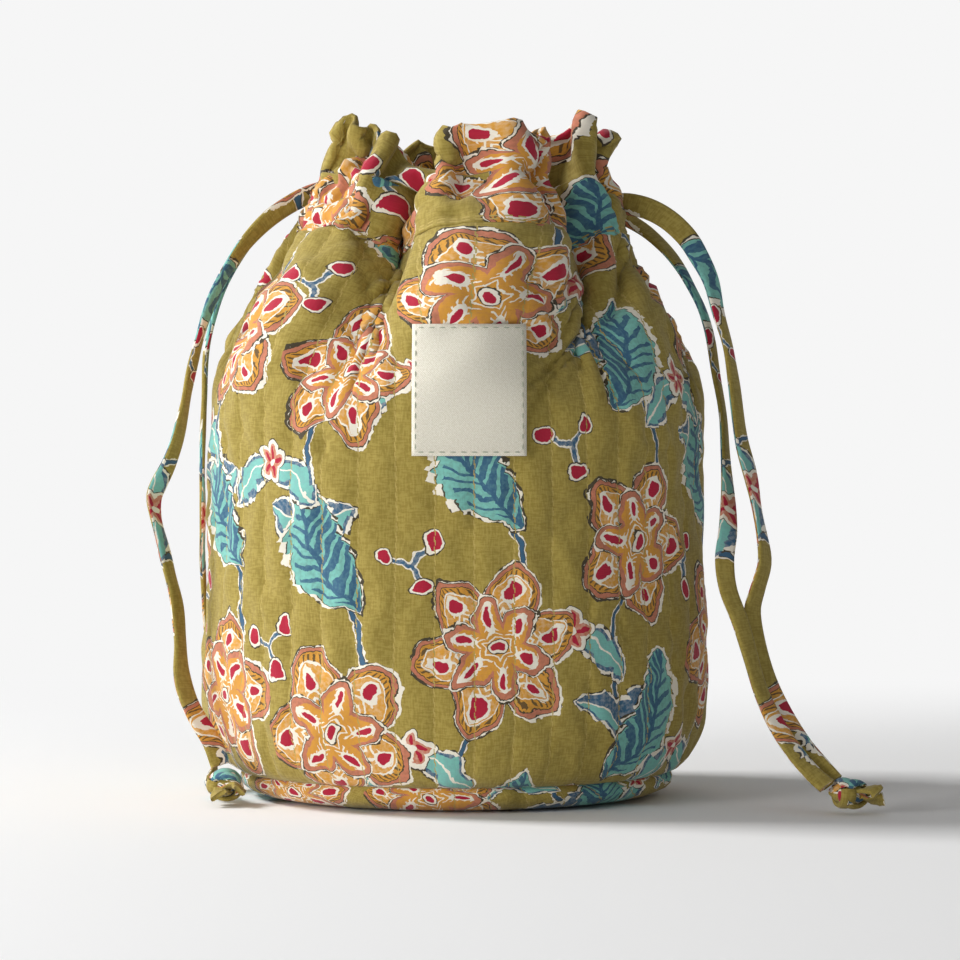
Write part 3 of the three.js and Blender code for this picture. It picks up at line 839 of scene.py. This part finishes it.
def offCloth(angle, reach, distance):
    # a point at some distance outside the cloth's middle surface
    distance = distance + puckered(angle, reach)
    stepU, stepV = 1.1, 1.6
    u = onCloth(angle + stepU, reach) - onCloth(angle - stepU, reach)
    top = np.minimum(reach + stepV, topReach)
    v = onCloth(angle, top) - onCloth(angle, top - 2 * stepV)
    normal = unit(np.cross(u, v))
    return onCloth(angle, reach) + normal * np.asarray(distance)[..., None]


def flatAcross(angle):
    return (angle + 180) / 360 * cloth["flatWidth"]


def ripple(u, v, seed, sizeU, sizeV, count=26):
    # seeded waves that close up around the pouch
    rng = np.random.default_rng(seed)
    total = np.zeros(np.broadcast(u, v).shape)
    for _ in range(count):
        turns = int(rng.integers(1, max(2, int(cloth["flatWidth"] / sizeU))))
        phase = turns * u / cloth["flatWidth"] + v * rng.uniform(-1, 1) / sizeV
        total += np.sin(2 * np.pi * phase + rng.uniform(0, 6.3))
    return total / math.sqrt(count / 2)


# Values of the label, in mm. They stand here because the wall lies flat under it.
label = {
    "width": 39.4, "height": 45.4, "thickness": 0.9, "centreAngle": 3.4, "centreHeight": 145.3, "columns": 28,
    "rows": 32, "stand": 2.7, "foreshortening": 0.985, "clearance": 0.5, "cornerLift": 0.5, "hemDip": 0.35,
    "stitchInset": 1.3, "stitchLength": 2.0, "stitchPitch": 3.5, "stitchWidth": 0.42, "stitchRise": 0.22,
}
labelReach = float(np.interp(label["centreHeight"], heights, reaches))
perMm = 360 / cloth["flatWidth"]

# Quilted wall: two cottons with wadding between, sewn through along 41 upright lines
wall = {
    "channels": 41, "perChannel": 8, "rows": 104, "thickness": 3.0, "edgeThickness": 1.6, "puff": 0.8,
    "puffBase": 0.55, "seamAllowance": 2.5, "footFade": 9, "topFade": 10,
    # depth, seed, sizes across and up: creases of the outer cotton, those between the stitches, and swells
    "fine": (0.35, 5, 12, 18), "between": (0.4, 6, 7, 9), "broad": (0.6, 9, 60, 70, 8),
}
wallTop = seamReach + wall["seamAllowance"]
rows, columns = wall["rows"], wall["channels"] * wall["perChannel"]
angle, reach = np.meshgrid(np.arange(columns) * 360 / columns - 180, np.linspace(0, wallTop, rows))
u = flatAcross(angle)
sewn = np.abs(np.sin(np.pi * u / quiltPitch)) ** 0.7
inside = ease(reach / wall["footFade"]) * ease((wallTop - reach) / wall["topFade"])
thick = blend(wall["edgeThickness"], wall["thickness"], inside)
fine, gapped, broad = [wall[key][0] * ripple(u, reach, *wall[key][1:]) for key in ("fine", "between", "broad")]
creases = fine + gapped * (1 - sewn) + broad
# the label holds the cloth flat under it
underLabel = np.exp(-((angle - label["centreAngle"]) / perMm / label["width"] / 0.52) ** 8
                    - ((reach - labelReach) / label["height"] / 0.52) ** 8)
creases = creases * (1 - 0.9 * underLabel)
outer = offCloth(angle, reach, thick / 2 + (wall["puff"] * (sewn - wall["puffBase"]) + creases) * inside)
inner = offCloth(angle, reach, -thick / 2)


def twoSided(front, back, faces, uv, rimLoops, rimUv):
    # the points, faces and uv of a sheet with both its sides, closed along loops of (first, second) points
    count = len(front.reshape(-1, 3))
    rim = [[a, a + count, b + count, b][::order] for a, b, order in rimLoops]
    points = np.vstack([front.reshape(-1, 3), back.reshape(-1, 3)])
    allUv = [part.reshape(-1, 2) for part in (uv, uv[:, ::-1], np.array(rimUv, float))]
    return points, np.vstack([faces, faces[:, ::-1] + count, rim]), np.concatenate(allUv)


outFaces, (r, c) = gridFaces(rows, columns, closed=True)
perColumn, perRow = cloth["flatWidth"] / columns, wallTop / (rows - 1)
rimLoops, rimUv = [], []
for row, order in ((0, 1), (rows - 1, -1)):
    for k in range(columns):
        rimLoops.append((row * columns + k, row * columns + (k + 1) % columns, order))
        rimUv.append([(edge * perColumn, row * perRow) for edge in (k, k, k + 1, k + 1)[::order]])
wallUv = np.stack([c * perColumn, r * perRow], -1)
quiltedWall = addPiece("quiltedWall", *twoSided(outer, inner, outFaces, wallUv, rimLoops, rimUv),
                       quiltedCotton, "quilted_cotton", "quilted_wall")
print("stage: wall")

# Header: a plain band folded over at the top, its two legs either side of the wall's edge and the strings
header = {
    "lap": 4.5, "gapDegrees": 5.2, "legRows": 30, "foldRows": 5, "step": 1.15, "clothThickness": 0.8,
    "foldHeight": 0.6, "wrinkleDepth": 0.4, "wrinkleAcross": 11, "wrinkleUp": 14,
    # half the distance between the legs: at the wall's edge, round the strings, and in the ruffle
    "lapOffset": 1.35, "channelOffset": 2.0, "ruffleOffset": 0.6,
}
headerFoot = seamReach - header["lap"]
headerTop = topReach - header["foldHeight"]


def makeHeader(name, node, fromAngle, toAngle, seed):
    count = int((toAngle - fromAngle) / header["step"]) + 1
    legReach = np.linspace(headerFoot, headerTop, header["legRows"])
    opening = blend(header["lapOffset"], header["channelOffset"], ease((legReach - seamReach) / 4))
    opening = blend(opening, header["ruffleOffset"], ease((legReach - seamReach - 14) / 5))
    fold = np.linspace(0, np.pi, header["foldRows"] + 2)[1:-1]
    pathReach = np.concatenate([legReach, headerTop + header["foldHeight"] * np.sin(fold), legReach[::-1]])
    pathOffset = np.concatenate([opening, header["ruffleOffset"] * np.cos(fold), -opening[::-1]])
    angle, row = np.meshgrid(np.linspace(fromAngle, toAngle, count), np.arange(len(pathReach)))
    reach = pathReach[row]
    wrinkle = ripple(flatAcross(angle), reach, seed, header["wrinkleAcross"], header["wrinkleUp"])
    wrinkle = header["wrinkleDepth"] * wrinkle * ease((reach - headerFoot - 3) / 6)
    points = offCloth(angle, reach, pathOffset[row] + wrinkle)
    faces, (r, c) = gridFaces(len(pathReach), count)
    along = lengthAlong(np.stack([pathReach, pathOffset], 1))
    uv = np.stack([flatAcross(angle)[r, c], along[r]], -1)
    piece = addPiece(name, points.reshape(-1, 3), faces, uv, headerCotton, "plain_cotton", node)
    shell = piece.modifiers.new("clothThickness", "SOLIDIFY")
    shell.thickness, shell.offset = header["clothThickness"] * mm, 0


gap = header["gapDegrees"]
makeHeader("headerFront", "header_front", -90 + gap, 96 - gap, 11)
makeHeader("headerBack", "header_back", 96 + gap, 270 - gap, 12)
print("stage: header")

# Base: a round padded panel; its rim bulges out below the seam and is drawn in by the stitches
base = {
    "columns": 246, "puckerDepth": 0.45, "rimRadius": 76, "rimWidth": 3.2, "puckerRise": 0.3,
    # radius and height, from the middle of the top, over the rim and back under
    "profile": [
        (0.01, 7.0), (20, 7.0), (45, 7.0), (64, 7.4), (70, 9.2), (74.0, 10.6), (75.6, 10.1), (76.8, 8.8),
        (77.4, 7.0), (77.0, 5.0), (75.2, 3.2), (71.8, 1.7), (67, 0.7), (60, 0.15), (50, 0), (40, 0), (30, 0),
        (20, 0), (10, 0), (0.01, 0)],
}
turn = np.arange(base["columns"]) * 2 * np.pi / base["columns"]
ringR, ringZ = np.array(base["profile"]).T[..., None]
puckers = ripple(turn * cloth["flatWidth"] / (2 * np.pi), ringR, 21, 9, 60) * base["puckerDepth"]
edge = np.exp(-((ringR - base["rimRadius"]) / base["rimWidth"]) ** 2) * (ringZ > 0.5)
radius = ringR + puckers * edge
basePoints = np.stack([radius * np.sin(turn), -radius * np.cos(turn),
                       ringZ + np.abs(puckers) * base["puckerRise"] * edge], -1)
faces, (r, c) = gridFaces(len(base["profile"]), base["columns"], closed=True)
along = lengthAlong(np.array(base["profile"]))[::-1]
flatTurn = turn[c % base["columns"]]
# the panel is cut from another part of the print than the wall
flat = np.stack([along[r] * np.sin(flatTurn) + 300, along[r] * np.cos(flatTurn) + 90], -1)
basePanel = addPiece("basePanel", basePoints.reshape(-1, 3), faces[:, ::-1], flat[:, ::-1],
                     quiltedCotton, "quilted_cotton", "base_panel")
print("stage: base")

# Strings inside the channel, seen only where they cross a gap in the header
channelStrings = {
    "stringRightLoop": {"node": "drawstring_right_loop", "height": 212.6, "from": 102, "to": 450, "seed": 41},
    "stringLeftLoop": {"node": "drawstring_left_loop", "height": 220.8, "from": -84, "to": 264, "seed": 42},
}
loopShape = {"points": 220, "width": 4.6, "thickness": 1.3}
for name, string in channelStrings.items():
    angles = np.linspace(string["from"], string["to"], loopShape["points"])
    level = np.interp(string["height"], heights, reaches)
    line = onCloth((angles + 180) % 360 - 180, np.full(angles.shape, level))
    strip = stripMesh(line, lengthAlong(line), loopShape["width"], loopShape["thickness"], [(0, 90), (1, 90)],
                      towards=(0, 0, 1), side=8, crumple=0.1, seed=string["seed"])
    addPiece(name, *strip, stripCotton, "strip_cotton", string["node"])
print("stage: channel strings")

# Label: a bare patch of unbleached canvas, hemmed and sewn on by hand. It reads as a matt cream with a
# visible weave. Canvas yarns are 0.45 mm apart; they are drawn at 0.8 mm so that they show.
canvasTones = ("#DDD7C4", "#EFEBDD")
canvas, tree, shader = newMaterial("unbleachedWovenCanvas")
uvMap = addNode(tree, "UVMap", {"uv_map": "clothMm"})
parts = addNode(tree, "SeparateXYZ", {}, {0: uvMap.outputs[0]})
slub = addNode(tree, "TexNoise", {"noise_dimensions": "2D"}, {
    "Vector": uvMap.outputs[0], "Scale": 1.6, "Detail": 3.0})
made = {"u": parts.outputs[0], "v": parts.outputs[1], "slub": slub.outputs[0]}
runSteps(tree, made, """
up = v * 7.85 sine
weave = u * 7.85 sine * up * 0.3 + slub
""")
share = addNode(tree, "MapRange", {}, {0: made["weave"], 1: 0.3, 2: 0.7, 3: 0.0, 4: 1.0})
low, high = [linearColour(tone) for tone in canvasTones]
tone = addNode(tree, "Mix", {"data_type": "RGBA"}, {0: share.outputs[0], 6: low, 7: high})
weaveBump = addNode(tree, "Bump", {}, {"Strength": 0.5, "Distance": 0.0003, "Height": made["weave"]})
feed(shader, {"Base Color": tone.outputs[2], "Normal": weaveBump.outputs[0], "Roughness": 0.9,
              "Specular IOR Level": 0.2})

rows, columns = label["rows"], label["columns"]
x, y = np.meshgrid(np.linspace(-0.5, 0.5, columns), np.linspace(-0.5, 0.5, rows))
x, y = x * label["width"], y * label["height"]


def stiffTerms(x, y):
    x, y = np.asarray(x, float) / 20, np.asarray(y, float) / 20
    return np.stack([np.ones_like(x), x, y, x * x, x * y, y * y, x * x * y, x * y * y, y ** 3, y ** 4], -1)


def neighbours(values):
    padded = np.pad(values, 1, mode="edge")
    return [padded[a:a + rows, b:b + columns] for a in range(3) for b in range(3)]


# the canvas is too stiff for small creases, so it takes the wall's broad curve, lifted smoothly over what
# stands proud
bed = offCloth(label["centreAngle"] + x * perMm, labelReach + y, np.full(x.shape, label["stand"]))
bedCentre = bed.reshape(-1, 3).mean(0)
bedX, bedDepth, bedZ = np.moveaxis(bed - bedCentre, -1, 0)
fit = np.linalg.lstsq(stiffTerms(bedX, bedZ).reshape(-1, 10), bedDepth.ravel(), rcond=None)[0]
lift = np.maximum(stiffTerms(bedX, bedZ) @ fit - bedDepth + label["clearance"], 0)
for _ in range(2):
    lift = np.max(neighbours(lift), axis=0)
for _ in range(16):
    lift = sum(neighbours(lift)) / 9
print("label: lifted by", lift.min().round(2), "to", lift.max().round(2), "mm")


def onLabel(x, y, distance):
    row = (np.asarray(y) / label["height"] + 0.5) * (rows - 1)
    column = (np.asarray(x) / label["width"] + 0.5) * (columns - 1)
    r0 = np.clip(np.floor(row).astype(int), 0, rows - 2)
    c0 = np.clip(np.floor(column).astype(int), 0, columns - 2)
    low = blend(lift[r0, c0], lift[r0, c0 + 1], column - c0)
    high = blend(lift[r0 + 1, c0], lift[r0 + 1, c0 + 1], column - c0)
    x, z = np.asarray(x) * label["foreshortening"], np.asarray(y) * label["foreshortening"]
    return bedCentre + np.stack([x, stiffTerms(x, z) @ fit - distance - blend(low, high, row - r0), z], -1)


acrossShare, upShare = np.abs(x) / label["width"], np.abs(y) / label["height"]
corner = np.clip(np.hypot(acrossShare * 2, upShare * 2) - 1.05, 0, 1)
hem = label["hemDip"] * (np.maximum(acrossShare, upShare) > 0.49)
front = onLabel(x, y, label["thickness"] - hem + label["cornerLift"] * corner)
back = onLabel(x, y, 0.4 * corner)
faces, (r, c) = gridFaces(rows, columns)
uv = np.stack([c * label["width"] / (columns - 1), r * label["height"] / (rows - 1)], -1)
loop = ([(0, k) for k in range(columns)] + [(k, columns - 1) for k in range(1, rows)]
        + [(rows - 1, k) for k in range(columns - 2, -1, -1)] + [(k, 0) for k in range(rows - 2, 0, -1)])
rimLoops, rimUv = [], []
for (r0, c0), (r1, c1) in zip(loop, loop[1:] + loop[:1]):
    rimLoops.append((r0 * columns + c0, r1 * columns + c1, 1))
    rimUv.append([(c0, r0), (c0, r0), (c1, r1), (c1, r1)])
canvasLabel = addPiece("canvasLabel", *twoSided(front, back, faces, uv, rimLoops, rimUv),
                       canvas, "label_canvas", "label")

# Label stitches: a running stitch of grey-green sewing thread, which looks smooth with a faint twist
threadTones = ("#9AA08A", "#BDC0AA")
sewingThread, tree, shader = newMaterial("greyGreenSewingThread")
twist = addNode(tree, "TexNoise", {}, {"Scale": 900.0, "Detail": 2.0})
low, high = [linearColour(tone) for tone in threadTones]
threadTone = addNode(tree, "Mix", {"data_type": "RGBA"}, {0: twist.outputs[0], 6: low, 7: high})
feed(shader, {"Base Color": threadTone.outputs[2], "Roughness": 0.7})
halfW, halfH = label["width"] / 2 - label["stitchInset"], label["height"] / 2 - label["stitchInset"]
corners = [(-halfW, -halfH), (halfW, -halfH), (halfW, halfH), (-halfW, halfH)]
taper = np.array([0.35, 0.85, 1, 1, 1, 0.85, 0.35])[:, None] * label["stitchWidth"] / 2
arch = np.sin(np.linspace(0, np.pi, 7)) * label["stitchRise"] - 0.05
ring = ringTurns(6)
points, faces, uv = [], [], []
for (x0, y0), (x1, y1) in zip(corners, corners[1:] + corners[:1]):
    length = math.hypot(x1 - x0, y1 - y0)
    count = int(length / label["stitchPitch"])
    for k in range(count):
        middle, half = (k + 0.5) / count, label["stitchLength"] / 2 / length
        share = np.linspace(middle - half, middle + half, 7)
        spine = onLabel(blend(x0, x1, share), blend(y0, y1, share), label["thickness"] + arch)
        tangent = unit(np.gradient(spine, axis=0))
        side = unit(np.cross(tangent, (0, -1, 0)))
        tube = swept(spine, side, np.cross(side, tangent), taper * np.cos(ring), taper * np.sin(ring))
        first = sum(len(p) for p in points)
        quads, (r, c) = gridFaces(7, 6, closed=True, first=first)
        points.append(tube.reshape(-1, 3))
        faces += quads.tolist() + [[first + m for m in range(6)][::-1], [first + 36 + m for m in range(6)]]
        uv += np.stack([r, c], -1).reshape(-1, 2).tolist() + [[0, 0]] * 12
addPiece("labelStitches", np.vstack(points), faces, uv, sewingThread, "label_canvas")
print("stage: label")

# Studio: pale floor running up into a backdrop, a large soft lamp on the left and a soft fill. In metres.
studio = {
    "floorColour": "#F0F0F0", "backdropTone": "#F6F6F6", "fill": 0.26, "fadeFrom": 0.1, "fadeTo": 0.6,
    "halfWidth": 3, "front": -1.6, "back": 1.6, "bend": 0.5, "top": 3.0, "lampsFace": (0, 0, 0.12),
    # place, power in watts, and size
    "lamps": {"softBoxHigh": ((-1.64, 0.34, 1.55), 45.0, 0.65), "softBoxLow": ((-0.9, -0.9, 0.28), 7.0, 0.4)},
}
bend = studio["bend"]
sweep = [(studio["front"], 0)]
sweep += [(studio["back"] + bend * math.sin(a), bend * (1 - math.cos(a)))
          for a in np.linspace(0, math.pi / 2, 16)]
sweep += [(studio["back"] + bend, studio["top"])]
mesh = bpy.data.meshes.new("paperSweep")
mesh.from_pydata([(x, y, z) for y, z in sweep for x in (-studio["halfWidth"], studio["halfWidth"])], [],
                 [(2 * k, 2 * k + 1, 2 * k + 3, 2 * k + 2) for k in range(len(sweep) - 1)])
mesh.polygons.foreach_set("use_smooth", [True] * len(mesh.polygons))
paperSweep = bpy.data.objects.new("paperSweep", mesh)
scene.collection.objects.link(paperSweep)
# Matt backdrop paper: plain near the pouch, where it takes the shadow, and pale to the camera further back
paper, tree, shader = newMaterial("mattBackdropPaper")
feed(shader, {"Base Color": linearColour(studio["floorColour"]), "Roughness": 1.0, "Specular IOR Level": 0.0})
seen = addNode(tree, "LightPath")
spot = addNode(tree, "TexCoord")
depth = addNode(tree, "SeparateXYZ", {}, {0: spot.outputs["Object"]})
fade = addNode(tree, "MapRange", {"interpolation_type": "SMOOTHSTEP"}, {
    0: depth.outputs[1], 1: studio["fadeFrom"], 2: studio["fadeTo"]})
made = {key: seen.outputs[f"Is {key} Ray"] for key in ("Camera", "Glossy", "Transmission")}
made["fade"] = fade.outputs[0]
runSteps(tree, made, "faded = Camera max Glossy max Transmission * fade")
pale = addNode(tree, "Emission", {}, {"Color": linearColour(studio["backdropTone"]), "Strength": 1.0})
both = addNode(tree, "MixShader", {}, {0: made["faded"], 1: shader.outputs[0], 2: pale.outputs[0]})
surface = [node for node in tree.nodes if node.type == "OUTPUT_MATERIAL"][0]
feed(surface, {"Surface": both.outputs[0]})
mesh.materials.append(paper)

world = bpy.data.worlds.new("softStudio")
scene.world = world
world.use_nodes = True
feed(world.node_tree.nodes["Background"], {"Color": (1, 1, 1, 1), "Strength": studio["fill"]})
for name, (place, power, size) in studio["lamps"].items():
    lampData = bpy.data.lights.new(name, "AREA")
    lampData.energy, lampData.size = power, size
    lamp = bpy.data.objects.new(name, lampData)
    lamp.location = place
    lamp.rotation_euler = (Vector(studio["lampsFace"]) - lamp.location).to_track_quat("-Z", "Y").to_euler()
    scene.collection.objects.link(lamp)
scene.view_settings.view_transform = "Standard"
print("stage: studio")
